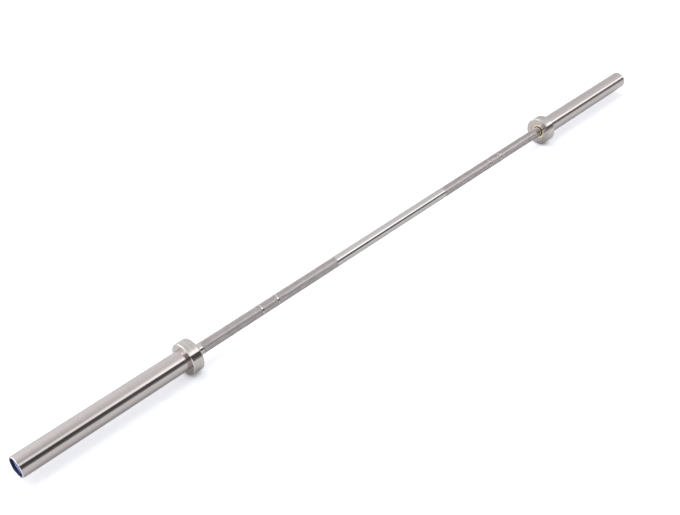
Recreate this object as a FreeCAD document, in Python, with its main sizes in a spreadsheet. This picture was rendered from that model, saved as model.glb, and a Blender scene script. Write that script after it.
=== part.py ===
"""Olympic barbell: a one-piece steel shaft with two free-spinning sleeves, each built up from turned pieces.

Frame: the bar's axis is X, the origin is the middle of the shaft, and +Z is up. Millimetres.
Each side is drawn outwards along +X, and the left side is the same drawing given half a turn about Z.

Bench order of one side, from the grip outwards: the shaft's shoulder bears on the flange of the inner
bushing, which is pressed into the sleeve inside the collar. The outer bushing sits in the sleeve's mouth.
A thrust washer, two snap rings and the spacer between them hold the sleeve on the shaft's journal, and a
pressed-in cap with a plain disc in its face closes the mouth.
"""

import FreeCAD
import Part
import Sketcher
import os

# The driving dimensions. Each becomes one cell of the first sheet.
DRIVING_SIZES = {
    # Shaft
    "shaft_diameter": 28,
    "shoulder_height": 1.5,
    "shaft_end_chamfer": 1.5,
    "centre_hole_diameter": 6,
    "centre_hole_depth": 5,
    # Grip, its knurled bands and the smooth marks between them
    "grip_length": 1310,
    "centre_smooth_length": 420,
    "inner_mark_spacing": 815,
    "outer_mark_spacing": 915,
    "mark_width": 5,
    "collar_smooth_length": 20,
    "knurl_blank_depth": 0.32,
    # Sleeve
    "sleeve_length": 415,
    "sleeve_diameter": 50,
    "sleeve_bore_clearance": 1.5,
    "relief_width": 1.5,
    "relief_depth": 0.4,
    "sleeve_end_chamfer": 1,
    "mouth_wall": 2.75,
    "mouth_edge_chamfer": 0.5,
    # Collar
    "collar_diameter": 78,
    "collar_width": 30,
    "collar_seat_step": 2,
    "collar_socket_depth": 3,
    "collar_plate_edge_chamfer": 1.8,
    "collar_grip_edge_chamfer": 3,
    "collar_bore_chamfer": 0.5,
    # Flanged bushings
    "bushing_wall": 4,
    "bushing_body_length": 26,
    "bushing_flange_thickness": 3.5,
    "bushing_flange_clearance": 0.25,
    "bushing_seat_runout": 0.5,
    "bushing_edge_chamfer": 0.6,
    "bushing_setback": 1,
    "running_clearance": 0.05,
    "end_play": 0.3,
    # Thrust washer and spacer
    "washer_thickness": 2,
    "washer_rim_setback": 1,
    "washer_bore_clearance": 0.1,
    "spacer_thickness": 1.5,
    "spacer_width": 4.5,
    # Snap rings and their grooves
    "ring_thickness": 1.2,
    "ring_back_width": 3,
    "ring_tip_width": 2.2,
    "ring_gap": 5,
    "ring_lug_diameter": 4.6,
    "ring_lug_sink": 0.4,
    "ring_lug_hole_diameter": 2,
    "ring_groove_depth": 0.55,
    "ring_groove_clearance": 0.1,
    "ring_end_land": 4,
    # End cap and its disc
    "cap_setback": 1,
    "cap_dish_depth": 5.5,
    "cap_depth": 8,
    "cap_shelf_width": 1,
    "cap_face_thickness": 2.5,
    "cap_skirt_thickness": 2,
    "cap_wall_thickness": 1.8,
    "cap_edge_chamfer": 0.5,
    "cap_shaft_gap": 3,
    "disc_thickness": 0.8,
    "disc_rim_clearance": 0.1,
}

# Radii, and places measured from the bar's middle, worked out in the second sheet.
WORKED_OUT_SIZES = {
    # Radii of the shaft and of what runs on it
    "shaft_radius": "Dimensions.shaft_diameter / 2",
    "journal_radius": "shaft_radius - Dimensions.shoulder_height",
    "knurl_blank_radius": "shaft_radius - Dimensions.knurl_blank_depth",
    "centre_hole_radius": "Dimensions.centre_hole_diameter / 2",
    "ring_groove_radius": "journal_radius - Dimensions.ring_groove_depth",
    "bushing_bore_radius": "journal_radius + Dimensions.running_clearance",
    "bushing_outer_radius": "bushing_bore_radius + Dimensions.bushing_wall",
    "washer_bore_radius": "journal_radius + Dimensions.washer_bore_clearance",
    "spacer_outer_radius": "washer_bore_radius + Dimensions.spacer_width",
    # Radii of the sleeve and of what sits in it or on it
    "sleeve_radius": "Dimensions.sleeve_diameter / 2",
    "relief_radius": "sleeve_radius - Dimensions.relief_depth",
    "sleeve_bore_radius": "journal_radius + Dimensions.sleeve_bore_clearance",
    "cap_seat_radius": "sleeve_radius - Dimensions.mouth_wall",
    "mouth_radius": "cap_seat_radius - Dimensions.cap_shelf_width",
    "bushing_flange_radius": "mouth_radius - Dimensions.bushing_flange_clearance",
    "washer_outer_radius": "bushing_flange_radius - Dimensions.washer_rim_setback",
    "collar_lip_radius": "bushing_flange_radius + Dimensions.bushing_flange_clearance",
    "collar_seat_radius": "sleeve_radius - Dimensions.collar_seat_step",
    "collar_radius": "Dimensions.collar_diameter / 2",
    "cap_skirt_bore_radius": "cap_seat_radius - Dimensions.cap_skirt_thickness",
    "cap_dish_radius": "cap_seat_radius - Dimensions.cap_wall_thickness",
    "disc_radius": "cap_dish_radius - Dimensions.disc_rim_clearance",
    # Places along the grip
    "knurl_start": "Dimensions.centre_smooth_length / 2",
    "inner_mark_start": "(Dimensions.inner_mark_spacing - Dimensions.mark_width) / 2",
    "inner_mark_end": "inner_mark_start + Dimensions.mark_width",
    "outer_mark_start": "(Dimensions.outer_mark_spacing - Dimensions.mark_width) / 2",
    "outer_mark_end": "outer_mark_start + Dimensions.mark_width",
    "collar_inner_face": "Dimensions.grip_length / 2",
    "knurl_end": "collar_inner_face - Dimensions.collar_smooth_length",
    # Places inside the collar
    "collar_outer_face": "collar_inner_face + Dimensions.collar_width",
    "collar_step": "collar_outer_face - Dimensions.collar_socket_depth",
    "relief_end": "collar_outer_face + Dimensions.relief_width",
    "inner_flange_face": "collar_inner_face + Dimensions.bushing_setback",
    "shaft_shoulder": "inner_flange_face - Dimensions.end_play",
    "sleeve_start": "inner_flange_face + Dimensions.bushing_flange_thickness",
    "inner_bushing_end": "sleeve_start + Dimensions.bushing_body_length",
    "inner_seat_end": "inner_bushing_end + Dimensions.bushing_seat_runout",
    # Places in the sleeve's mouth, worked back from its end
    "sleeve_end": "collar_outer_face + Dimensions.sleeve_length",
    "cap_rim": "sleeve_end - Dimensions.cap_setback",
    "cap_face": "cap_rim - Dimensions.cap_dish_depth",
    "disc_seat": "cap_face - Dimensions.disc_thickness",
    "cap_face_back": "cap_face - Dimensions.cap_face_thickness",
    "cap_seat": "cap_face - Dimensions.cap_depth",
    "shaft_end": "cap_seat - Dimensions.cap_shaft_gap",
    "centre_hole_end": "shaft_end - Dimensions.centre_hole_depth",
    "outer_ring_face": "shaft_end - Dimensions.ring_end_land",
    "outer_ring_back": "outer_ring_face - Dimensions.ring_thickness",
    "outer_groove_back": "outer_ring_back - Dimensions.ring_groove_clearance",
    "inner_ring_face": "outer_ring_back - Dimensions.spacer_thickness",
    "inner_ring_back": "inner_ring_face - Dimensions.ring_thickness",
    "inner_groove_back": "inner_ring_back - Dimensions.ring_groove_clearance",
    "washer_back": "inner_ring_back - Dimensions.washer_thickness",
    "outer_flange_face": "washer_back - Dimensions.end_play",
    "mouth_floor": "outer_flange_face - Dimensions.bushing_flange_thickness",
    "outer_bushing_end": "mouth_floor - Dimensions.bushing_body_length",
    "outer_seat_end": "outer_bushing_end - Dimensions.bushing_seat_runout",
    # Snap ring outline, seen along the bar, with its gap at the top and its widest part at the bottom
    "ring_outer_radius": "ring_groove_radius + (Dimensions.ring_back_width + Dimensions.ring_tip_width) / 2",
    "ring_drop": "(Dimensions.ring_back_width - Dimensions.ring_tip_width) / 2",
    "ring_lug_radius": "Dimensions.ring_lug_diameter / 2",
    "ring_lug_hole_radius": "Dimensions.ring_lug_hole_diameter / 2",
    "ring_lug_reach": "ring_groove_radius + ring_lug_radius - Dimensions.ring_lug_sink",
    "ring_lug_side": "(Dimensions.ring_gap + Dimensions.ring_lug_diameter) / 2",
    "ring_lug_height": "sqrt(ring_lug_reach * ring_lug_reach - ring_lug_side * ring_lug_side)",
    "ring_half_gap": "Dimensions.ring_gap / 2",
    "ring_gap_top": "ring_outer_radius + Dimensions.ring_lug_diameter",
}

# A corner of an outline that lies on the bar's axis, or on the plane through the bar's middle.
AXIS = "on the axis"
MIDDLE = "in the middle"

# Two places this close together are the same place.
SAME_PLACE = 1e-6

SIDES = {
    "left": FreeCAD.Rotation(FreeCAD.Vector(0, 0, 1), 180),
    "right": FreeCAD.Rotation(),
}

doc = FreeCAD.newDocument("Barbell")


def make_sheet(name, cells):
    """A sheet with one named cell per row: its name in column A, its number or formula in column B."""
    sheet = doc.addObject("Spreadsheet::Sheet", name)
    for row, (alias, content) in enumerate(cells.items(), start=1):
        sheet.set(f"A{row}", alias)
        sheet.set(f"B{row}", content)
        sheet.setAlias(f"B{row}", alias)
    doc.recompute()
    return sheet


dimensions = make_sheet("Dimensions", {name: str(size) for name, size in DRIVING_SIZES.items()})
stations = make_sheet("Stations", {name: f"={formula}" for name, formula in WORKED_OUT_SIZES.items()})


def station(name):
    """The present value of a worked-out size, or zero for a corner on an axis."""
    return 0 if name in (AXIS, MIDDLE) else getattr(stations, name)


def start_body(label):
    """An empty body, written later under its label."""
    body = doc.addObject("PartDesign::Body", label)
    body.Label = label
    return body


def origin_feature(body, role):
    """One of a body's own origin planes or axes."""
    return next(item for item in body.Origin.OriginFeatures if item.Role == role)


def new_sketch(body, name, plane, height=None):
    """An empty sketch on a body's own origin plane, moved along its normal to a place where one is given."""
    sketch = body.newObject("Sketcher::SketchObject", f"{body.Name}_{name}_sketch")
    sketch.AttachmentSupport = [(origin_feature(body, plane), "")]
    sketch.MapMode = "FlatFace"
    if height:
        sketch.setExpression("AttachmentOffset.Base.z", f"Stations.{height}")
    return sketch


def bind(sketch, kind, references, cell):
    """A sketch dimension tied to a worked-out size."""
    index = sketch.addConstraint(Sketcher.Constraint(kind, *references, station(cell)))
    sketch.setExpression(f"Constraints[{index}]", f"Stations.{cell}")


def fix_point(sketch, line, point, across, up):
    """Ties a sketch point to two worked-out sizes, or puts it on a sketch axis."""
    if across == MIDDLE:
        sketch.addConstraint(Sketcher.Constraint("PointOnObject", line, point, -2))
    else:
        bind(sketch, "DistanceX", (-1, 1, line, point), across)
    if up == AXIS:
        sketch.addConstraint(Sketcher.Constraint("PointOnObject", line, point, -1))
    else:
        bind(sketch, "DistanceY", (-1, 1, line, point), up)


def add_outline(sketch, corners):
    """A closed outline of straight lines through corners that are each named by two worked-out sizes."""
    places = [FreeCAD.Vector(station(across), station(up), 0) for across, up in corners]
    first = sketch.GeometryCount
    for here, there in zip(places, places[1:] + places[:1]):
        sketch.addGeometry(Part.LineSegment(here, there), False)
    for step, (across, up) in enumerate(corners):
        following = first + (step + 1) % len(corners)
        sketch.addConstraint(Sketcher.Constraint("Coincident", first + step, 2, following, 1))
        fix_point(sketch, first + step, 1, across, up)


def add_circle(sketch, place, radius):
    """A circle of a worked-out radius whose centre starts at a place."""
    circle = sketch.addGeometry(Part.Circle(place, FreeCAD.Vector(0, 0, 1), station(radius)), False)
    bind(sketch, "Radius", (circle,), radius)
    return circle


def turn(body, corners):
    """The body's first solid: an outline of (place, radius) corners turned about the bar's axis."""
    sketch = new_sketch(body, "outline", "XY_Plane")
    add_outline(sketch, corners)
    turned = body.newObject("PartDesign::Revolution", f"{body.Name}_turned")
    turned.Profile = sketch
    turned.ReferenceAxis = (origin_feature(body, "X_Axis"), [""])
    turned.Angle = 360
    doc.recompute()
    return turned


def turn_grooves(body, name, grooves):
    """Grooves turned about the bar's axis, each named by its two ends, its floor and its brim."""
    before = body.Shape.Volume
    sketch = new_sketch(body, name, "XY_Plane")
    for start, end, floor, brim in grooves:
        add_outline(sketch, [(start, floor), (end, floor), (end, brim), (start, brim)])
    groove = body.newObject("PartDesign::Groove", f"{body.Name}_{name}")
    groove.Profile = sketch
    groove.ReferenceAxis = (origin_feature(body, "X_Axis"), [""])
    groove.Angle = 360
    doc.recompute()
    require_less(body, before, groove)
    return groove


def require_less(body, before, cut):
    """Makes sure that a cut took material away."""
    if body.Shape.Volume >= before:
        raise RuntimeError(f"{cut.Name} took nothing away")


def round_edges(shape, place, radius):
    """The names of the edges that run round the bar's axis at one place and radius."""
    names = []
    for number, edge in enumerate(shape.Edges, start=1):
        if not isinstance(edge.Curve, Part.Circle):
            continue
        off_place = abs(edge.Curve.Center.x - station(place))
        off_radius = abs(edge.Curve.Radius - station(radius))
        if max(off_place, off_radius) < SAME_PLACE:
            names.append(f"Edge{number}")
    if not names:
        raise RuntimeError(f"no edge at {place} and {radius}")
    return names


def break_edge(body, size, place, radius):
    """A chamfer of one driving size on the round edge at a place and radius."""
    base = body.Tip
    before = body.Shape.Volume
    chamfer = body.newObject("PartDesign::Chamfer", f"{body.Name}_{place}_{radius}_edge")
    chamfer.Base = (base, round_edges(base.Shape, place, radius))
    chamfer.setExpression("Size", f"Dimensions.{size}")
    doc.recompute()
    require_less(body, before, chamfer)


def make_shaft():
    """Half a shaft from the middle to its end, mirrored: grip, shoulder, journal and snap ring grooves."""
    body = start_body("shaft")
    turn(
        body,
        [
            (MIDDLE, AXIS),
            (MIDDLE, "shaft_radius"),
            ("shaft_shoulder", "shaft_radius"),
            ("shaft_shoulder", "journal_radius"),
            ("shaft_end", "journal_radius"),
            ("shaft_end", "centre_hole_radius"),
            ("centre_hole_end", AXIS),
        ],
    )
    turn_grooves(
        body,
        "knurl_blanks",
        [
            ("knurl_start", "inner_mark_start", "knurl_blank_radius", "shaft_radius"),
            ("inner_mark_end", "outer_mark_start", "knurl_blank_radius", "shaft_radius"),
            ("outer_mark_end", "knurl_end", "knurl_blank_radius", "shaft_radius"),
        ],
    )
    turn_grooves(
        body,
        "ring_grooves",
        [
            ("inner_groove_back", "inner_ring_face", "ring_groove_radius", "journal_radius"),
            ("outer_groove_back", "outer_ring_face", "ring_groove_radius", "journal_radius"),
        ],
    )
    break_edge(body, "shaft_end_chamfer", "shaft_end", "journal_radius")
    half = body.Shape.Volume
    mirrored = body.newObject("PartDesign::Mirrored", "shaft_mirrored")
    mirrored.TransformMode = "Whole shape"
    mirrored.MirrorPlane = (origin_feature(body, "YZ_Plane"), [""])
    body.Tip = mirrored
    doc.recompute()
    if body.Shape.Volume <= half:
        raise RuntimeError("the shaft has only one half")
    return body


def make_sleeve(label):
    """The tube that carries the plates: collar seat, relief at the collar, two bushing seats, stepped mouth."""
    body = start_body(label)
    turn(
        body,
        [
            ("sleeve_start", "bushing_outer_radius"),
            ("sleeve_start", "collar_seat_radius"),
            ("collar_step", "collar_seat_radius"),
            ("collar_step", "sleeve_radius"),
            ("collar_outer_face", "sleeve_radius"),
            ("collar_outer_face", "relief_radius"),
            ("relief_end", "relief_radius"),
            ("relief_end", "sleeve_radius"),
            ("sleeve_end", "sleeve_radius"),
            ("sleeve_end", "cap_seat_radius"),
            ("cap_seat", "cap_seat_radius"),
            ("cap_seat", "mouth_radius"),
            ("mouth_floor", "mouth_radius"),
            ("mouth_floor", "bushing_outer_radius"),
            ("outer_seat_end", "bushing_outer_radius"),
            ("outer_seat_end", "sleeve_bore_radius"),
            ("inner_seat_end", "sleeve_bore_radius"),
            ("inner_seat_end", "bushing_outer_radius"),
        ],
    )
    break_edge(body, "sleeve_end_chamfer", "sleeve_end", "sleeve_radius")
    break_edge(body, "mouth_edge_chamfer", "sleeve_end", "cap_seat_radius")
    return body


def make_collar(label):
    """The ring that the plates stop against: pressed onto the sleeve, with a lip round the bushing's flange."""
    body = start_body(label)
    turn(
        body,
        [
            ("collar_inner_face", "collar_lip_radius"),
            ("collar_inner_face", "collar_radius"),
            ("collar_outer_face", "collar_radius"),
            ("collar_outer_face", "sleeve_radius"),
            ("collar_step", "sleeve_radius"),
            ("collar_step", "collar_seat_radius"),
            ("sleeve_start", "collar_seat_radius"),
            ("sleeve_start", "collar_lip_radius"),
        ],
    )
    break_edge(body, "collar_grip_edge_chamfer", "collar_inner_face", "collar_radius")
    break_edge(body, "collar_plate_edge_chamfer", "collar_outer_face", "collar_radius")
    break_edge(body, "collar_bore_chamfer", "collar_inner_face", "collar_lip_radius")
    return body


def make_bushing(label, flange_face, flange_seat, body_end):
    """A flanged bronze bushing between the face of its flange and the end of its body."""
    body = start_body(label)
    turn(
        body,
        [
            (flange_face, "bushing_bore_radius"),
            (flange_face, "bushing_flange_radius"),
            (flange_seat, "bushing_flange_radius"),
            (flange_seat, "bushing_outer_radius"),
            (body_end, "bushing_outer_radius"),
            (body_end, "bushing_bore_radius"),
        ],
    )
    break_edge(body, "bushing_edge_chamfer", flange_face, "bushing_flange_radius")
    break_edge(body, "bushing_edge_chamfer", flange_face, "bushing_bore_radius")
    break_edge(body, "bushing_edge_chamfer", body_end, "bushing_outer_radius")
    return body


def make_washer(label, back, face, outer_radius):
    """A flat washer on the journal."""
    body = start_body(label)
    turn(
        body,
        [
            (back, "washer_bore_radius"),
            (back, outer_radius),
            (face, outer_radius),
            (face, "washer_bore_radius"),
        ],
    )
    return body


def add_lug_pair(sketch, radius):
    """Two equal circles at the snap ring's lugs, one on each side of its gap."""
    place = FreeCAD.Vector(stations.ring_lug_side, stations.ring_lug_height, 0)
    lug = add_circle(sketch, place, radius)
    fix_point(sketch, lug, 3, "ring_lug_side", "ring_lug_height")
    twin_place = FreeCAD.Vector(-stations.ring_lug_side, stations.ring_lug_height, 0)
    twin = sketch.addGeometry(Part.Circle(twin_place, FreeCAD.Vector(0, 0, 1), station(radius)), False)
    sketch.addConstraint(Sketcher.Constraint("Equal", lug, twin))
    sketch.addConstraint(Sketcher.Constraint("Symmetric", lug, 3, twin, 3, -2))


def pad_ring(body, name, sketch):
    """Thickens a snap ring sketch outwards along the bar."""
    pad = body.newObject("PartDesign::Pad", f"{body.Name}_{name}")
    pad.Profile = sketch
    pad.setExpression("Length", "Dimensions.ring_thickness")
    doc.recompute()


def pierce_ring(body, name, sketch):
    """Cuts a sketch through a snap ring."""
    before = body.Shape.Volume
    pocket = body.newObject("PartDesign::Pocket", f"{body.Name}_{name}")
    pocket.Profile = sketch
    pocket.Reversed = True
    pocket.setExpression("Length", "Dimensions.ring_thickness")
    doc.recompute()
    require_less(body, before, pocket)


def make_snap_ring(label, back):
    """An external snap ring: a ring that narrows towards its gap, with a pierced lug at each tip."""
    body = start_body(label)

    blank = new_sketch(body, "blank", "YZ_Plane", back)
    rim = add_circle(blank, FreeCAD.Vector(0, -stations.ring_drop, 0), "ring_outer_radius")
    blank.addConstraint(Sketcher.Constraint("PointOnObject", rim, 3, -2))
    bind(blank, "DistanceY", (rim, 3, -1, 1), "ring_drop")
    pad_ring(body, "blank", blank)

    lugs = new_sketch(body, "lugs", "YZ_Plane", back)
    add_lug_pair(lugs, "ring_lug_radius")
    pad_ring(body, "lugs", lugs)

    holes = new_sketch(body, "holes", "YZ_Plane", back)
    bore = add_circle(holes, FreeCAD.Vector(0, 0, 0), "ring_groove_radius")
    holes.addConstraint(Sketcher.Constraint("Coincident", bore, 3, -1, 1))
    add_lug_pair(holes, "ring_lug_hole_radius")
    pierce_ring(body, "holes", holes)

    gap = new_sketch(body, "gap", "YZ_Plane", back)
    half_gap = stations.ring_half_gap
    corners = [
        FreeCAD.Vector(-half_gap, 0, 0),
        FreeCAD.Vector(half_gap, 0, 0),
        FreeCAD.Vector(half_gap, stations.ring_gap_top, 0),
        FreeCAD.Vector(-half_gap, stations.ring_gap_top, 0),
    ]
    for here, there in zip(corners, corners[1:] + corners[:1]):
        gap.addGeometry(Part.LineSegment(here, there), False)
    for line in range(len(corners)):
        gap.addConstraint(Sketcher.Constraint("Coincident", line, 2, (line + 1) % len(corners), 1))
    fix_point(gap, 1, 1, "ring_half_gap", AXIS)
    fix_point(gap, 2, 1, "ring_half_gap", "ring_gap_top")
    gap.addConstraint(Sketcher.Constraint("Symmetric", 1, 1, 0, 1, -2))
    gap.addConstraint(Sketcher.Constraint("Symmetric", 2, 1, 3, 1, -2))
    pierce_ring(body, "gap", gap)
    return body


def make_end_cap(label):
    """The plug in the sleeve's mouth: a skirt on the mouth's shelf and a dished face that holds the disc."""
    body = start_body(label)
    turn(
        body,
        [
            ("cap_seat", "cap_skirt_bore_radius"),
            ("cap_seat", "cap_seat_radius"),
            ("cap_rim", "cap_seat_radius"),
            ("cap_rim", "cap_dish_radius"),
            ("disc_seat", "cap_dish_radius"),
            ("disc_seat", AXIS),
            ("cap_face_back", AXIS),
            ("cap_face_back", "cap_skirt_bore_radius"),
        ],
    )
    break_edge(body, "cap_edge_chamfer", "cap_rim", "cap_seat_radius")
    break_edge(body, "cap_edge_chamfer", "cap_rim", "cap_dish_radius")
    return body


def make_end_disc(label):
    """The plain disc in the bottom of the cap's dish."""
    body = start_body(label)
    turn(
        body,
        [
            ("disc_seat", AXIS),
            ("disc_seat", "disc_radius"),
            ("cap_face", "disc_radius"),
            ("cap_face", AXIS),
        ],
    )
    return body


def make_side(side):
    """Every piece of one end of the bar, drawn outwards along +X and then turned to its side."""
    pieces = [
        make_sleeve(f"{side}_sleeve"),
        make_collar(f"{side}_collar"),
        make_bushing(f"{side}_inner_bushing", "inner_flange_face", "sleeve_start", "inner_bushing_end"),
        make_bushing(f"{side}_outer_bushing", "outer_flange_face", "mouth_floor", "outer_bushing_end"),
        make_washer(f"{side}_thrust_washer", "washer_back", "inner_ring_back", "washer_outer_radius"),
        make_washer(f"{side}_ring_spacer", "inner_ring_face", "outer_ring_back", "spacer_outer_radius"),
        make_snap_ring(f"{side}_inner_snap_ring", "inner_ring_back"),
        make_snap_ring(f"{side}_outer_snap_ring", "outer_ring_back"),
        make_end_cap(f"{side}_end_cap"),
        make_end_disc(f"{side}_end_disc"),
    ]
    for body in pieces:
        body.Placement = FreeCAD.Placement(FreeCAD.Vector(), SIDES[side])
    return pieces


def require_sound(bodies):
    """Makes sure that nothing in the document failed and that each piece is one valid solid."""
    failed = [item.Name for item in doc.Objects if {"Invalid", "Error"} & set(item.State)]
    if failed:
        raise RuntimeError(f"failed: {failed}")
    for body in bodies:
        shape = body.Shape
        if shape.isNull() or not shape.isValid() or len(shape.Solids) != 1:
            raise RuntimeError(f"{body.Label} is not one valid solid")


def main():
    """Builds the bar and writes each piece under its label."""
    bodies = [make_shaft()]
    for side in SIDES:
        bodies.extend(make_side(side))
    doc.recompute()
    require_sound(bodies)
    os.makedirs("parts", exist_ok=True)
    for body in bodies:
        body.Shape.exportStep(os.path.join("parts", f"{body.Label}.step"))


main()
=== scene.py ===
"""Knurling, finishes and studio for an olympic barbell, laid out as an add-on."""

import math

import bmesh
import bpy
from bpy.props import FloatProperty, FloatVectorProperty, IntProperty, PointerProperty
from bpy.types import Operator, Panel, PropertyGroup
from mathutils import Euler, Matrix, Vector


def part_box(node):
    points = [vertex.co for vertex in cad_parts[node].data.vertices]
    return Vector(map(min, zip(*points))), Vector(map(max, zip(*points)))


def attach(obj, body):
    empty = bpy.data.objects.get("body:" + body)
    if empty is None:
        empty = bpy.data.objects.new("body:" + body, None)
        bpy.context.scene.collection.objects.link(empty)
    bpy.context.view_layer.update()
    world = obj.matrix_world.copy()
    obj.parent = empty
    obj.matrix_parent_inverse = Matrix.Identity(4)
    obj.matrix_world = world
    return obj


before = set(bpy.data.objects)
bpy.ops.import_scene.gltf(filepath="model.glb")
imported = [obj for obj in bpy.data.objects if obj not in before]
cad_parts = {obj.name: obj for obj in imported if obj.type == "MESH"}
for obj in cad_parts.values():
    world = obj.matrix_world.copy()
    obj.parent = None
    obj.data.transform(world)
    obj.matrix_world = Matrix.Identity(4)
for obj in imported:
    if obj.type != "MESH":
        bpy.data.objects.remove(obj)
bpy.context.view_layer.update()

bl_info = {
    "name": "Olympic Barbell",
    "version": (1, 0, 0),
    "blender": (4, 5, 0),
    "location": "View3D > Sidebar > Barbell",
    "description": "Cuts the knurling, finishes each piece and sets up the studio",
    "category": "Object",
}

SIDES = ("left", "right")
MM = 0.001
MICRON = 0.000001
COLLAR_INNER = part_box("right_collar")[0].x
COLLAR_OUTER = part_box("right_collar")[1].x
SLEEVE_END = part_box("right_sleeve")[1].x

# Flat sheet of knurling: slack of the cut at its ends, and distance at which its seam is welded.
CUT_SLACK = 0.00001
WELD_DISTANCE = 2 * MICRON
# Shares of a diamond's height: dull steel under the first, bright steel over the second.
CREST_SHARES = (0.6, 0.97)
# Roughness of the knurling in its grooves and on its crests.
KNURL_ROUGHNESS = (0.39, 0.33)
# Lathe lines: roughness between them, and what they add, as shares of a metal's roughness.
LINE_VALLEY, LINE_RISE = 0.75, 0.5
# Smudges on turned metal: strength, tone, and what they add to the roughness.
SMUDGE_STRENGTH, SMUDGE_TONE, SMUDGE_DULLING = 0.25, 0.9, 0.35
# Hairline scratches on turned metal: strength and tone.
SCRATCH_STRENGTH, SCRATCH_TONE = 0.35, 1.25
# Smudges on the knurling, which leave it as dull as its grooves.
KNURL_SMUDGE_STRENGTH = 0.35
# Smudges per metre on the knurling and the small steel pieces, and on the plastic ones.
FINE_SMUDGES, PLASTIC_SMUDGES = 60.0, 90.0
# Tones of the smudges on the small steel pieces and of the scuffs on the plastic ones.
PLAIN_SMUDGE_TONE, SCUFF_TONE = 0.8, 1.12
# Strength of the bright edge: wear polishes it, and a painted highlight lifts its tone further.
EDGE_WEAR_AND_GLINT_STRENGTH = 0.9
# Polished face of a collar: depth of the layer, its tone, and what it takes off the roughness.
FACE_DEPTH, FACE_TONE, FACE_POLISH = 0.4 * MM, 0.98, 0.05
# Radii between which the painted shade on a bushing, next to the shaft, fades out.
BORE_SHADE_RADII = (15.3 * MM, 17.5 * MM)
# Tool rings per metre of radius on flat faces.
FACE_RINGS = 3500.0
# Share of the floor's glow that metal mirrors.
FLOOR_LIFT = 0.08
# Darkening of the floor where something all but touches it.
CONTACT_REACH, CONTACT_SAMPLES = 12 * MM, 16


class BarbellKnurl(PropertyGroup):
    """Sizes of the diamond knurling on the shaft."""

    starts: IntProperty(
        name="Starts", description="Number of grooves round the shaft, each way", default=58, min=12)
    helix: FloatProperty(
        name="Helix", description="Angle between a groove and the shaft", default=math.radians(30),
        subtype="ANGLE")
    root_radius: FloatProperty(
        name="Root radius", description="Shaft radius at the bottom of the grooves", default=13.69 * MM,
        unit="LENGTH", precision=5)
    crest_height: FloatProperty(
        name="Crest height", description="Height of the diamonds over the grooves", default=0.30 * MM,
        unit="LENGTH", precision=5)
    flank: FloatProperty(
        name="Flank", description="Width of a diamond's sloping side", default=0.24 * MM,
        unit="LENGTH", precision=5)
    runout: FloatProperty(
        name="Run-out", description="Length over which the diamonds fade at a band's end",
        default=1.2 * MM, unit="LENGTH", precision=5)
    lining: FloatProperty(
        name="Lining", description="Depth of a band's inner wall under the grooves", default=0.15 * MM,
        unit="LENGTH", precision=5)
    middle: FloatProperty(
        name="Smooth middle", description="Length of the smooth middle", default=420 * MM,
        unit="LENGTH")
    inner_mark: FloatProperty(
        name="Inner marks", description="Distance between the inner smooth marks", default=815 * MM,
        unit="LENGTH")
    outer_mark: FloatProperty(
        name="Outer marks", description="Distance between the outer smooth marks", default=915 * MM,
        unit="LENGTH")
    mark_width: FloatProperty(
        name="Mark width", description="Width of a smooth mark", default=5 * MM, unit="LENGTH")
    collar_land: FloatProperty(
        name="Collar land", description="Smooth length of shaft beside a collar", default=20 * MM,
        unit="LENGTH")


def colour_property(name, description, default):
    """A colour that shows as a swatch in the panel."""
    return FloatVectorProperty(
        name=name, description=description, default=default, subtype="COLOR", size=3, min=0, max=1)


class BarbellFinish(PropertyGroup):
    """Colours of the barbell's finishes."""

    shaft: colour_property("Shaft", "Ground steel of the shaft", (0.600, 0.578, 0.568))
    groove: colour_property("Knurl grooves", "Dull steel in the knurling's grooves", (0.370, 0.345, 0.344))
    crest: colour_property("Knurl crests", "Bright steel on top of the knurling", (0.800, 0.745, 0.745))
    sleeve: colour_property("Sleeves", "Turned steel of the sleeves", (0.587, 0.541, 0.535))
    collar: colour_property("Collars", "Turned steel of the collars", (0.597, 0.556, 0.540))
    bronze: colour_property("Bushings", "Bronze of the bushings", (0.960, 0.850, 0.650))
    # Painted shade: the dark brown ring on the bushings next to the shaft.
    bore_shade: colour_property("Oil", "Oil stain on the bushings, next to the shaft", (0.120, 0.062, 0.034))
    zinc: colour_property("Washers", "Plated steel of the washers and spacers", (0.520, 0.525, 0.530))
    spring: colour_property("Snap rings", "Dark spring steel of the snap rings", (0.120, 0.115, 0.115))
    # The caps' near-black navy is painted shade: it darkens the recessed wall at the sleeve's mouth, tinted
    # blue like the disc.
    cap: colour_property("End caps", "Moulded plastic of the end caps", (0.007, 0.013, 0.066))
    disc: colour_property("End discs", "Glossy face of the end caps", (0.410, 0.470, 0.820))


class BarbellStudio(PropertyGroup):
    """Camera, floor and light."""

    camera_place: FloatVectorProperty(
        name="Camera", description="Where the camera stands", default=(-1.58398, -1.32746, 1.49641),
        subtype="TRANSLATION", size=3)
    camera_heading: FloatProperty(
        name="Heading", description="Direction the camera faces, from the bar's right end",
        default=0.760939, subtype="ANGLE")
    camera_dip: FloatProperty(
        name="Dip", description="How far the camera looks down", default=0.659439, subtype="ANGLE")
    lens: FloatProperty(
        name="Lens", description="Focal length", default=52.4525, unit="CAMERA")
    floor: colour_property("Floor", "Paint of the studio floor", (0.720, 0.722, 0.724))
    floor_glow: colour_property("Floor glow", "Tint that lifts the floor to white", (0.500, 0.511, 0.550))
    floor_size: FloatProperty(
        name="Floor size", description="Length of the floor's side", default=40.0, unit="LENGTH")


def add_node(tree, kind, **settings):
    """Adds a shader node and sets its properties."""
    node = tree.nodes.new(kind)
    for key, value in settings.items():
        setattr(node, key, value)
    return node


def math_node(tree, operation, *values):
    """Adds a math node; a number is set on its socket and a socket is linked."""
    node = add_node(tree, "ShaderNodeMath", operation=operation)
    for value, socket in zip(values, node.inputs):
        plug(tree, value, socket)
    return node.outputs[0]


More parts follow.
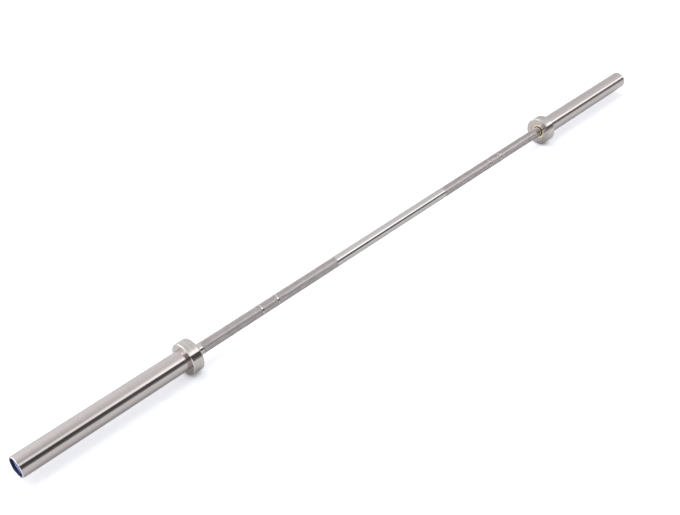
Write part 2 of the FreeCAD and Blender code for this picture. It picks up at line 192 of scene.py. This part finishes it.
def plug(tree, value, socket):
    """Links an output socket, or sets a plain value, on an input socket."""
    if isinstance(value, bpy.types.NodeSocket):
        tree.links.new(value, socket)
    else:
        socket.default_value = value


def remap(tree, value, low, high, to_low=0.0, to_high=1.0):
    """Maps a value from one range to another with a smooth step."""
    node = add_node(tree, "ShaderNodeMapRange", interpolation_type="SMOOTHSTEP")
    for socket, entry in zip(node.inputs[:5], (value, low, high, to_low, to_high)):
        plug(tree, entry, socket)
    return node.outputs["Result"]


def blend_colours(tree, factor, first, second):
    """Mixes two colours by a factor."""
    node = add_node(tree, "ShaderNodeMix", data_type="RGBA", clamp_factor=True)
    plug(tree, factor, node.inputs["Factor"])
    plug(tree, first, node.inputs[6])
    plug(tree, second, node.inputs[7])
    return node.outputs[2]


def noise(tree, position, detail, roughness, scale=1.0):
    """Adds a noise texture and gives its value."""
    node = add_node(tree, "ShaderNodeTexNoise")
    plug(tree, position, node.inputs["Vector"])
    node.inputs["Scale"].default_value = scale
    node.inputs["Detail"].default_value = detail
    node.inputs["Roughness"].default_value = roughness
    return node.outputs["Fac"]


def stretch(tree, position, along, across):
    """Scales a position by one number along the bar and another across it."""
    factors = add_node(tree, "ShaderNodeCombineXYZ")
    for socket, value in zip(factors.inputs, (along, across, across)):
        plug(tree, value, socket)
    node = add_node(tree, "ShaderNodeVectorMath", operation="MULTIPLY")
    plug(tree, position, node.inputs[0])
    plug(tree, factors.outputs[0], node.inputs[1])
    return node.outputs[0]


def start_group(name, inputs, outputs):
    """Starts a shader node group with named sockets, and gives it with its inputs and outputs."""
    group = bpy.data.node_groups.new(name, "ShaderNodeTree")
    for label, kind, value in inputs:
        socket = group.interface.new_socket(name=label, in_out="INPUT", socket_type=kind)
        if value is not None:
            socket.default_value = value
    for label in outputs:
        group.interface.new_socket(name=label, in_out="OUTPUT", socket_type="NodeSocketFloat")
    return group, add_node(group, "NodeGroupInput").outputs, add_node(group, "NodeGroupOutput").inputs


def make_lathe_lines():
    """Fine rings that a cutting tool leaves round the bar, and slower changes of tone between them."""
    group, given, result = start_group(
        "Lathe Lines",
        [("Position", "NodeSocketVector", None), ("Lines", "NodeSocketFloat", 4000.0),
         ("Bands", "NodeSocketFloat", 350.0), ("Break", "NodeSocketFloat", 25.0)],
        ["Height", "Tone"])
    fine = stretch(group, given["Position"], along=given["Lines"], across=given["Break"])
    fine = noise(group, fine, detail=3.0, roughness=0.65)
    plug(group, fine, result["Height"])
    slow_break = math_node(group, "MULTIPLY", given["Break"], 0.4)
    slow = stretch(group, given["Position"], along=given["Bands"], across=slow_break)
    slow = noise(group, slow, detail=4.0, roughness=0.7)
    plug(group, remap(group, slow, low=0.25, high=0.75), result["Tone"])
    return group


def make_handling_marks():
    """Faint smudges, and hairline scratches along the bar."""
    group, given, result = start_group(
        "Handling Marks",
        [("Position", "NodeSocketVector", None), ("Size", "NodeSocketFloat", 14.0)],
        ["Smudge", "Scratch"])
    scaled = add_node(group, "ShaderNodeVectorMath", operation="SCALE")
    plug(group, given["Position"], scaled.inputs[0])
    plug(group, given["Size"], scaled.inputs["Scale"])
    cloud = noise(group, scaled.outputs[0], detail=5.0, roughness=0.6)
    plug(group, remap(group, cloud, low=0.42, high=0.72), result["Smudge"])
    streak = stretch(group, given["Position"], along=9.0, across=1500.0)
    streak = remap(group, noise(group, streak, detail=1.0, roughness=0.5), low=0.66, high=0.74)
    patch = stretch(group, given["Position"], along=21.0, across=60.0)
    patch = remap(group, noise(group, patch, detail=2.0, roughness=0.5), low=0.48, high=0.62)
    plug(group, math_node(group, "MULTIPLY", streak, patch), result["Scratch"])
    return group


def make_edge_ring():
    """A soft ring round the bar at a distance from its middle, on both sides."""
    group, given, result = start_group(
        "Edge Ring",
        [("Position", "NodeSocketVector", None), ("Station", "NodeSocketFloat", 0.5),
         ("Width", "NodeSocketFloat", 0.002)],
        ["Mask"])
    parts = add_node(group, "ShaderNodeSeparateXYZ")
    plug(group, given["Position"], parts.inputs[0])
    reach = math_node(group, "ABSOLUTE", parts.outputs["X"])
    gap = math_node(group, "ABSOLUTE", math_node(group, "SUBTRACT", reach, given["Station"]))
    plug(group, remap(group, gap, 0.0, given["Width"], to_low=1.0, to_high=0.0), result["Mask"])
    return group


def make_axis_height():
    """Height over the bar's axis, from 0 at a low radius to 1 at a high one, and tool rings on faces."""
    group, given, result = start_group(
        "Axis Height",
        [("Position", "NodeSocketVector", None), ("Low", "NodeSocketFloat", 0.01),
         ("High", "NodeSocketFloat", 0.02)],
        ["Share", "Rings"])
    flat = stretch(group, given["Position"], along=0.0, across=1.0)
    length = add_node(group, "ShaderNodeVectorMath", operation="LENGTH")
    plug(group, flat, length.inputs[0])
    radius = length.outputs["Value"]
    plug(group, remap(group, radius, given["Low"], given["High"]), result["Share"])
    spot = add_node(group, "ShaderNodeCombineXYZ")
    plug(group, math_node(group, "MULTIPLY", radius, FACE_RINGS), spot.inputs[0])
    plug(group, noise(group, spot.outputs[0], detail=3.0, roughness=0.6), result["Rings"])
    return group


GROUP_MAKERS = {
    "Lathe Lines": make_lathe_lines,
    "Handling Marks": make_handling_marks,
    "Edge Ring": make_edge_ring,
    "Axis Height": make_axis_height,
}


def use_group(tree, name, position, **values):
    """Places a shared node group in a material, with its own values, and gives its outputs."""
    group = bpy.data.node_groups.get(name) or GROUP_MAKERS[name]()
    node = add_node(tree, "ShaderNodeGroup", node_tree=group)
    plug(tree, position, node.inputs["Position"])
    for key, value in values.items():
        node.inputs[key].default_value = value
    return node.outputs


def start_material(name):
    """Starts a material and gives it with its tree, its shader and the surface position."""
    material = bpy.data.materials.new(name)
    material.use_nodes = True
    tree = material.node_tree
    tree.nodes.clear()
    shader = add_node(tree, "ShaderNodeBsdfPrincipled")
    output = add_node(tree, "ShaderNodeOutputMaterial")
    tree.links.new(shader.outputs["BSDF"], output.inputs["Surface"])
    position = add_node(tree, "ShaderNodeTexCoord").outputs["Object"]
    return material, tree, shader, position


def add_bump(tree, shader, height, depth):
    """Feeds a height through a bump node into the shader's normal."""
    bump = add_node(tree, "ShaderNodeBump")
    bump.inputs["Strength"].default_value = 1.0
    bump.inputs["Distance"].default_value = depth
    plug(tree, height, bump.inputs["Height"])
    tree.links.new(bump.outputs["Normal"], shader.inputs["Normal"])


def shade(colour, factor=1.0):
    """A colour made lighter or darker, as an opaque colour."""
    return tuple(min(1.0, value * factor) for value in colour) + (1.0,)


def turned_metal(name, colour, lines, line_depth, roughness, ring_tone, edges=(), wear_and_glint_width=1.5 * MM,
                 edge_wear_and_glint=1.0, faces=(), across=0.0, bore_shade=None):
    """Metal off a lathe: fine rings, faint handling, edges worn bright under a painted highlight, polished
    faces and painted shade next to the shaft.
    """
    material, tree, shader, position = start_material(name)
    shader.inputs["Metallic"].default_value = 1.0
    turned = use_group(tree, "Lathe Lines", position, Lines=lines)
    handled = use_group(tree, "Handling Marks", position)
    tone = blend_colours(tree, turned["Tone"], shade(colour, 1 - ring_tone), shade(colour, 1 + ring_tone))
    smudge = math_node(tree, "MULTIPLY", handled["Smudge"], SMUDGE_STRENGTH)
    tone = blend_colours(tree, smudge, tone, shade(colour, SMUDGE_TONE))
    scratch = math_node(tree, "MULTIPLY", handled["Scratch"], SCRATCH_STRENGTH)
    tone = blend_colours(tree, scratch, tone, shade(colour, SCRATCH_TONE))
    rough = math_node(
        tree, "MULTIPLY_ADD", turned["Height"], roughness * LINE_RISE, roughness * LINE_VALLEY)
    dulling = math_node(tree, "MULTIPLY", handled["Smudge"], roughness * SMUDGE_DULLING)
    rough = math_node(tree, "ADD", rough, dulling)
    # Painted shade, darkest next to the shaft and fading out by the second radius.
    if bore_shade:
        height = use_group(tree, "Axis Height", position, Low=BORE_SHADE_RADII[0], High=BORE_SHADE_RADII[1])
        tone = blend_colours(tree, height["Share"], shade(bore_shade), tone)
    # Worn edges, painted brighter than the metal as a highlight.
    for station in edges:
        ring = use_group(tree, "Edge Ring", position, Station=station, Width=wear_and_glint_width)
        wear_and_glint = math_node(tree, "MULTIPLY", ring["Mask"], EDGE_WEAR_AND_GLINT_STRENGTH)
        tone = blend_colours(tree, wear_and_glint, tone, shade(colour, edge_wear_and_glint))
    for station in faces:
        flat = use_group(tree, "Edge Ring", position, Station=station, Width=FACE_DEPTH)
        tone = blend_colours(tree, flat["Mask"], tone, shade(colour, FACE_TONE))
        gloss = math_node(tree, "MULTIPLY", flat["Mask"], FACE_POLISH)
        rough = math_node(tree, "SUBTRACT", rough, gloss)
    tree.links.new(tone, shader.inputs["Base Color"])
    tree.links.new(rough, shader.inputs["Roughness"])
    if across:
        tangent = add_node(tree, "ShaderNodeTangent", direction_type="RADIAL", axis="X")
        tree.links.new(tangent.outputs[0], shader.inputs["Tangent"])
        shader.inputs["Anisotropic"].default_value = across
        shader.inputs["Anisotropic Rotation"].default_value = 0.25
    add_bump(tree, shader, turned["Height"], line_depth)
    return material


def knurled_metal(name, groove, crest, low, high):
    """Steel with dull grooves under a low radius and bright worn crests over a high one."""
    material, tree, shader, position = start_material(name)
    shader.inputs["Metallic"].default_value = 1.0
    height = use_group(tree, "Axis Height", position, Low=low, High=high)
    handled = use_group(tree, "Handling Marks", position, Size=FINE_SMUDGES)
    tone = blend_colours(tree, height["Share"], shade(groove), shade(crest))
    smudge = math_node(tree, "MULTIPLY", handled["Smudge"], KNURL_SMUDGE_STRENGTH)
    tone = blend_colours(tree, smudge, tone, shade(groove))
    tree.links.new(tone, shader.inputs["Base Color"])
    rough = remap(tree, height["Share"], 0.0, 1.0, *KNURL_ROUGHNESS)
    plug(tree, rough, shader.inputs["Roughness"])
    grain = noise(tree, position, detail=2.0, roughness=0.6, scale=9000.0)
    add_bump(tree, shader, grain, depth=3 * MICRON)
    return material


def plain_metal(name, colour, roughness, grain_depth):
    """Flat-ground or plated steel with a fine all-over grain."""
    material, tree, shader, position = start_material(name)
    shader.inputs["Metallic"].default_value = 1.0
    handled = use_group(tree, "Handling Marks", position, Size=FINE_SMUDGES)
    rings = use_group(tree, "Axis Height", position)
    tone = blend_colours(tree, handled["Smudge"], shade(colour), shade(colour, PLAIN_SMUDGE_TONE))
    tree.links.new(tone, shader.inputs["Base Color"])
    rough = remap(tree, rings["Rings"], 0.3, 0.7, to_low=roughness * 0.8, to_high=roughness * 1.2)
    plug(tree, rough, shader.inputs["Roughness"])
    grain = noise(tree, position, detail=3.0, roughness=0.6, scale=2500.0)
    add_bump(tree, shader, grain, grain_depth)
    return material


def moulded_plastic(name, colour, roughness, coat, grain_depth):
    """Moulded plastic with a faint flow of tone, a fine grain and light scuffs."""
    material, tree, shader, position = start_material(name)
    shader.inputs["Coat Weight"].default_value = coat
    shader.inputs["Coat Roughness"].default_value = 0.08
    handled = use_group(tree, "Handling Marks", position, Size=PLASTIC_SMUDGES)
    rings = use_group(tree, "Axis Height", position)
    tone = blend_colours(tree, handled["Smudge"], shade(colour), shade(colour, SCUFF_TONE))
    tree.links.new(tone, shader.inputs["Base Color"])
    rough = remap(tree, rings["Rings"], 0.2, 0.8, to_low=roughness * 0.8, to_high=roughness * 1.25)
    plug(tree, rough, shader.inputs["Roughness"])
    grain = noise(tree, position, detail=3.0, roughness=0.55, scale=3000.0)
    add_bump(tree, shader, grain, grain_depth)
    return material


def dress(nodes, material):
    """Puts a material on CAD nodes."""
    for node in nodes:
        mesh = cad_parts[node].data
        mesh.materials.clear()
        mesh.materials.append(material)


def both(piece):
    """The names of a piece on the left and on the right."""
    return [f"{side}_{piece}" for side in SIDES]


def diamond_sheet(bm, knurl, length):
    """Makes a flat sheet of diamonds in millimetres, X round the bar and Y along it; gives its girth."""
    around = 2 * math.pi * knurl.root_radius / MM / knurl.starts
    along = around / math.tan(knurl.helix)
    cells = knurl.starts + math.ceil(length / along) + 2
    bmesh.ops.create_grid(bm, x_segments=cells, y_segments=cells, size=cells / 2)
    lattice = Matrix(((around / 2, -around / 2, 0, 0), (along / 2, along / 2, 0, 0),
                      (0, 0, 1, 0), (0, 0, 0, 1)))
    bmesh.ops.transform(bm, matrix=lattice, verts=bm.verts)
    half_way = knurl.starts * around / 2 + around / 4
    spare = [face for face in bm.faces
             if not -half_way < face.calc_center_median().x < half_way - around / 2]
    bmesh.ops.delete(bm, geom=spare, context="FACES")
    bmesh.ops.inset_individual(
        bm, faces=bm.faces[:], thickness=knurl.flank / MM, depth=knurl.crest_height / MM,
        use_even_offset=True)
    for side in (-1, 1):
        bmesh.ops.bisect_plane(
            bm, geom=bm.verts[:] + bm.edges[:] + bm.faces[:], dist=CUT_SLACK,
            plane_co=(0, side * length / 2, 0), plane_no=(0, side, 0), clear_outer=True)
    return knurl.starts * around


def wrap_sheet(bm, knurl, length, girth, middle):
    """Rolls the sheet round the bar's axis, in metres, and fades its diamonds out at both ends."""
    for vertex in bm.verts:
        turn = 2 * math.pi * vertex.co.x / girth
        reach = min(1.0, (length / 2 - abs(vertex.co.y)) / (knurl.runout / MM))
        radius = knurl.root_radius + vertex.co.z * MM * max(0.0, reach)
        vertex.co = (middle + vertex.co.y * MM, radius * math.cos(turn), radius * math.sin(turn))
    bmesh.ops.remove_doubles(bm, verts=bm.verts, dist=WELD_DISTANCE)


def line_band(bm, knurl):
    """Closes a band with an end ring at each side and a wall inside."""
    rims = [edge for edge in bm.edges if edge.is_boundary]
    grown = bmesh.ops.extrude_edge_only(bm, edges=rims)["geom"]
    inner = knurl.root_radius - knurl.lining
    for vertex in (item for item in grown if isinstance(item, bmesh.types.BMVert)):
        shrink = inner / math.hypot(vertex.co.y, vertex.co.z)
        vertex.co = (vertex.co.x, vertex.co.y * shrink, vertex.co.z * shrink)
    bmesh.ops.bridge_loops(bm, edges=[edge for edge in bm.edges if edge.is_boundary])
    bmesh.ops.recalc_face_normals(bm, faces=bm.faces)


def finished_piece(bm, name, material, body):
    """Turns a bmesh into an object that rides on a body."""
    mesh = bpy.data.meshes.new(name)
    bm.to_mesh(mesh)
    bm.free()
    mesh.materials.append(material)
    piece = bpy.data.objects.new(name, mesh)
    bpy.context.scene.collection.objects.link(piece)
    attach(piece, body)


class BARBELL_OT_knurling(Operator):
    """Cut the diamond knurling into the shaft, in three bands on each side"""

    bl_idname = "barbell.knurling"
    bl_label = "Cut Knurling"

    def execute(self, context):
        knurl = context.scene.barbell_knurl
        finish = context.scene.barbell_finish
        low, high = (knurl.root_radius + share * knurl.crest_height for share in CREST_SHARES)
        material = knurled_metal("Knurled Steel", finish.groove, finish.crest, low, high)
        mark = knurl.mark_width / 2
        bands = {
            "inner": (knurl.middle / 2, knurl.inner_mark / 2 - mark),
            "between": (knurl.inner_mark / 2 + mark, knurl.outer_mark / 2 - mark),
            "outer": (knurl.outer_mark / 2 + mark, COLLAR_INNER - knurl.collar_land),
        }
        for side, sign in zip(SIDES, (-1, 1)):
            for label, (start, end) in bands.items():
                bm = bmesh.new()
                length = (end - start) / MM
                girth = diamond_sheet(bm, knurl, length)
                wrap_sheet(bm, knurl, length, girth, sign * (start + end) / 2)
                line_band(bm, knurl)
                finished_piece(bm, f"{side}_knurl_{label}", material, "shaft")
        return {"FINISHED"}


class BARBELL_OT_shaft(Operator):
    """Finish the shaft in ground steel"""

    bl_idname = "barbell.shaft"
    bl_label = "Finish Shaft"

    def execute(self, context):
        finish = context.scene.barbell_finish
        dress(["shaft"], turned_metal(
            "Ground Shaft Steel", finish.shaft, lines=6000.0, line_depth=1.2 * MICRON, roughness=0.13,
            ring_tone=0.03))
        return {"FINISHED"}


class BARBELL_OT_sleeves(Operator):
    """Finish the sleeves and collars in turned steel"""

    bl_idname = "barbell.sleeves"
    bl_label = "Finish Sleeves"

    def execute(self, context):
        finish = context.scene.barbell_finish
        # Sleeve ends and collar rims get a painted highlight on their worn edges.
        dress(both("sleeve"), turned_metal(
            "Turned Sleeve Steel", finish.sleeve, lines=4000.0, line_depth=1.5 * MICRON, roughness=0.14,
            ring_tone=0.04, edges=[SLEEVE_END], edge_wear_and_glint=1.8))
        dress(both("collar"), turned_metal(
            "Turned Collar Steel", finish.collar, lines=1800.0, line_depth=3 * MICRON, roughness=0.10,
            ring_tone=0.15, edges=[COLLAR_OUTER - 1 * MM], wear_and_glint_width=1 * MM, edge_wear_and_glint=1.5,
            faces=[COLLAR_INNER], across=0.7))
        return {"FINISHED"}


class BARBELL_OT_bearings(Operator):
    """Finish the bushings, washers, spacers and snap rings"""

    bl_idname = "barbell.bearings"
    bl_label = "Finish Bearings"

    def execute(self, context):
        finish = context.scene.barbell_finish
        # The bronze carries painted shade next to the shaft.
        dress(both("inner_bushing") + both("outer_bushing"), turned_metal(
            "Turned Bronze", finish.bronze, lines=2500.0, line_depth=1.5 * MICRON, roughness=0.06,
            ring_tone=0.06, bore_shade=finish.bore_shade))
        dress(both("thrust_washer") + both("ring_spacer"), plain_metal(
            "Plated Washer Steel", finish.zinc, roughness=0.3, grain_depth=4 * MICRON))
        dress(both("inner_snap_ring") + both("outer_snap_ring"), plain_metal(
            "Spring Steel", finish.spring, roughness=0.45, grain_depth=6 * MICRON))
        return {"FINISHED"}


class BARBELL_OT_end_caps(Operator):
    """Finish the end caps and their bare discs"""

    bl_idname = "barbell.end_caps"
    bl_label = "Finish End Caps"

    def execute(self, context):
        finish = context.scene.barbell_finish
        # Near-black navy cap plastic paints the shade on the recessed wall round the disc.
        dress(both("end_cap"), moulded_plastic(
            "Cap Plastic", finish.cap, roughness=0.35, coat=0.0, grain_depth=8 * MICRON))
        dress(both("end_disc"), moulded_plastic(
            "Disc Plastic", finish.disc, roughness=0.15, coat=0.3, grain_depth=1 * MICRON))
        return {"FINISHED"}


def make_floor(studio):
    """A wide pale floor under the collars that keeps the bar's shadow and shows as white."""
    bm = bmesh.new()
    bmesh.ops.create_grid(bm, x_segments=1, y_segments=1, size=studio.floor_size / 2)
    bmesh.ops.translate(bm, vec=(0, 0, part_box("left_collar")[0].z), verts=bm.verts)
    mesh = bpy.data.meshes.new("studio_floor")
    bm.to_mesh(mesh)
    bm.free()
    material = bpy.data.materials.new("Studio Floor")
    material.use_nodes = True
    tree = material.node_tree
    tree.nodes.clear()
    paint = add_node(tree, "ShaderNodeBsdfDiffuse")
    paint.inputs["Color"].default_value = shade(studio.floor)
    path = add_node(tree, "ShaderNodeLightPath")
    seen_in_metal = math_node(
        tree, "MAXIMUM", path.outputs["Is Glossy Ray"], path.outputs["Is Transmission Ray"])
    lift = math_node(tree, "MULTIPLY", seen_in_metal, FLOOR_LIFT)
    glow = add_node(tree, "ShaderNodeEmission")
    glow.inputs["Color"].default_value = shade(studio.floor_glow)
    near = add_node(tree, "ShaderNodeAmbientOcclusion", samples=CONTACT_SAMPLES)
    near.inputs["Distance"].default_value = CONTACT_REACH
    seen = math_node(tree, "MULTIPLY", path.outputs["Is Camera Ray"], near.outputs["AO"])
    plug(tree, math_node(tree, "MAXIMUM", seen, lift), glow.inputs["Strength"])
    total = add_node(tree, "ShaderNodeAddShader")
    tree.links.new(paint.outputs[0], total.inputs[0])
    tree.links.new(glow.outputs[0], total.inputs[1])
    tree.links.new(total.outputs[0], add_node(tree, "ShaderNodeOutputMaterial").inputs["Surface"])
    mesh.materials.append(material)
    floor = bpy.data.objects.new("studio_floor", mesh)
    bpy.context.scene.collection.objects.link(floor)


# Light round the bar's long axis, in degrees from the back horizon over the top to the front one.
# The levels are for light from the left end, far left, left, beside the camera, right, far right and
# right end.
LIGHT_ROUND_BAR = (
    (0, 1.90, 1.00, 1.10, 1.02, 0.92, 0.70, 0.50),
    (25, 1.90, 1.00, 2.80, 1.02, 0.94, 0.77, 0.45),
    (55, 1.20, 1.90, 4.00, 1.02, 0.92, 0.76, 0.35),
    (65, 1.10, 4.00, 4.00, 0.93, 0.93, 0.81, 0.33),
    (82, 0.90, 3.60, 3.60, 0.78, 0.95, 0.89, 0.30),
    (97, 0.86, 0.30, 0.60, 0.72, 1.03, 0.87, 0.25),
    (111, 0.86, 0.20, 0.30, 0.53, 1.42, 0.86, 0.25),
    (120.5, 0.90, 0.15, 0.20, 1.12, 2.00, 1.75, 0.30),
    (135.5, 0.90, 0.12, 0.15, 1.34, 2.00, 1.85, 0.30),
    (139.5, 0.14, 0.14, 0.12, 0.08, 0.10, 0.14, 0.10),
    (158, 0.16, 0.10, 0.10, 0.07, 0.10, 0.16, 0.10),
    (168, 0.55, 0.16, 0.16, 0.12, 0.16, 0.55, 0.20),
    (175, 0.72, 0.36, 0.36, 0.28, 0.36, 0.72, 0.30),
    (180, 0.80, 0.55, 0.55, 0.45, 0.55, 0.80, 0.40),
)
# Where each level gives way to the next, by the light's slant along the bar.
LIGHT_SLANTS = ((-0.45, -0.36), (-0.20, -0.12), (0.06, 0.22), (0.25, 0.50), (0.50, 0.80), (0.86, 0.93))
# Highest of the levels, which is the ramps' full scale.
LIGHT_PEAK = 4.0
# How far the levels turn with the slant, and the slant at which they don't.
LIGHT_SKEW, LIGHT_SKEW_PIVOT = math.radians(6), 0.45


def light_ramp(tree, turn, column):
    """A colour ramp of one column of light levels, by the turn round the bar."""
    ramp = add_node(tree, "ShaderNodeValToRGB")
    plug(tree, turn, ramp.inputs["Fac"])
    stops = ramp.color_ramp.elements
    while len(stops) < len(LIGHT_ROUND_BAR):
        stops.new(1.0)
    for stop, row in zip(stops, LIGHT_ROUND_BAR):
        stop.position = row[0] / 180
        stop.color = (row[column] / LIGHT_PEAK,) * 3 + (1.0,)
    return ramp.outputs["Color"]


def make_world():
    """A soft studio: a pale back and top, a long soft light over the camera and a dark room behind it."""
    world = bpy.data.worlds.new("Soft Studio")
    bpy.context.scene.world = world
    world.use_nodes = True
    tree = world.node_tree
    tree.nodes.clear()
    parts = add_node(tree, "ShaderNodeSeparateXYZ")
    tree.links.new(add_node(tree, "ShaderNodeTexCoord").outputs["Generated"], parts.inputs[0])
    sideways = math_node(tree, "ABSOLUTE", parts.outputs["X"])
    skew = math_node(tree, "MULTIPLY", math_node(tree, "SUBTRACT", LIGHT_SKEW_PIVOT, sideways), LIGHT_SKEW)
    angle = math_node(tree, "ADD", math_node(tree, "ARCTAN2", parts.outputs["Z"], parts.outputs["Y"]), skew)
    turn = math_node(tree, "DIVIDE", angle, math.pi)
    light = light_ramp(tree, turn, 1)
    for column, (low, high) in enumerate(LIGHT_SLANTS, start=2):
        share = remap(tree, parts.outputs["X"], low, high)
        light = blend_colours(tree, share, light, light_ramp(tree, turn, column))
    around = add_node(tree, "ShaderNodeBackground")
    plug(tree, light, around.inputs["Color"])
    around.inputs["Strength"].default_value = LIGHT_PEAK
    white = add_node(tree, "ShaderNodeBackground")
    white.inputs["Color"].default_value = (1, 1, 1, 1)
    white.inputs["Strength"].default_value = 1.0
    path = add_node(tree, "ShaderNodeLightPath")
    choice = add_node(tree, "ShaderNodeMixShader")
    tree.links.new(path.outputs["Is Camera Ray"], choice.inputs["Fac"])
    tree.links.new(around.outputs[0], choice.inputs[1])
    tree.links.new(white.outputs[0], choice.inputs[2])
    tree.links.new(choice.outputs[0], add_node(tree, "ShaderNodeOutputWorld").inputs["Surface"])


def make_camera(studio):
    """The camera over the bar's left end."""
    data = bpy.data.cameras.new("studio_camera")
    data.sensor_width = 36.0
    data.sensor_fit = "HORIZONTAL"
    data.lens = studio.lens
    data.clip_start = 0.01
    data.clip_end = 100.0
    camera = bpy.data.objects.new("studio_camera", data)
    bpy.context.scene.collection.objects.link(camera)
    camera.location = studio.camera_place
    camera.rotation_euler = Euler(
        (math.pi / 2 - studio.camera_dip, 0.0, studio.camera_heading - math.pi / 2))
    bpy.context.scene.camera = camera


class BARBELL_OT_studio(Operator):
    """Set up the floor, the soft light and the camera"""

    bl_idname = "barbell.studio"
    bl_label = "Set Up Studio"

    def execute(self, context):
        studio = context.scene.barbell_studio
        make_floor(studio)
        make_world()
        make_camera(studio)
        context.scene.view_settings.view_transform = "Standard"
        return {"FINISHED"}


class BARBELL_PT_sidebar(Panel):
    """The barbell's tools, sizes and colours"""

    bl_idname = "BARBELL_PT_sidebar"
    bl_label = "Olympic Barbell"
    bl_space_type = "VIEW_3D"
    bl_region_type = "UI"
    bl_category = "Barbell"

    def draw(self, context):
        layout = self.layout
        for tool in TOOLS:
            layout.operator(tool.bl_idname)
        for setting in SETTINGS:
            group = getattr(context.scene, setting)
            box = layout.box()
            for name in group.__annotations__:
                box.prop(group, name)


TOOLS = (
    BARBELL_OT_knurling,
    BARBELL_OT_shaft,
    BARBELL_OT_sleeves,
    BARBELL_OT_bearings,
    BARBELL_OT_end_caps,
    BARBELL_OT_studio,
)
SETTINGS = {
    "barbell_knurl": BarbellKnurl,
    "barbell_finish": BarbellFinish,
    "barbell_studio": BarbellStudio,
}


def register():
    """Adds the settings, the tools and the panel."""
    for name, group in SETTINGS.items():
        bpy.utils.register_class(group)
        setattr(bpy.types.Scene, name, PointerProperty(type=group))
    for entry in (*TOOLS, BARBELL_PT_sidebar):
        bpy.utils.register_class(entry)


def unregister():
    """Takes the panel, the tools and the settings away again."""
    for entry in (BARBELL_PT_sidebar, *reversed(TOOLS)):
        bpy.utils.unregister_class(entry)
    for name, group in SETTINGS.items():
        delattr(bpy.types.Scene, name)
        bpy.utils.unregister_class(group)


def main():
    """Builds the scene."""
    register()
    bpy.ops.barbell.knurling()
    bpy.ops.barbell.shaft()
    bpy.ops.barbell.sleeves()
    bpy.ops.barbell.bearings()
    bpy.ops.barbell.end_caps()
    bpy.ops.barbell.studio()


if __name__ == "__main__":
    main()
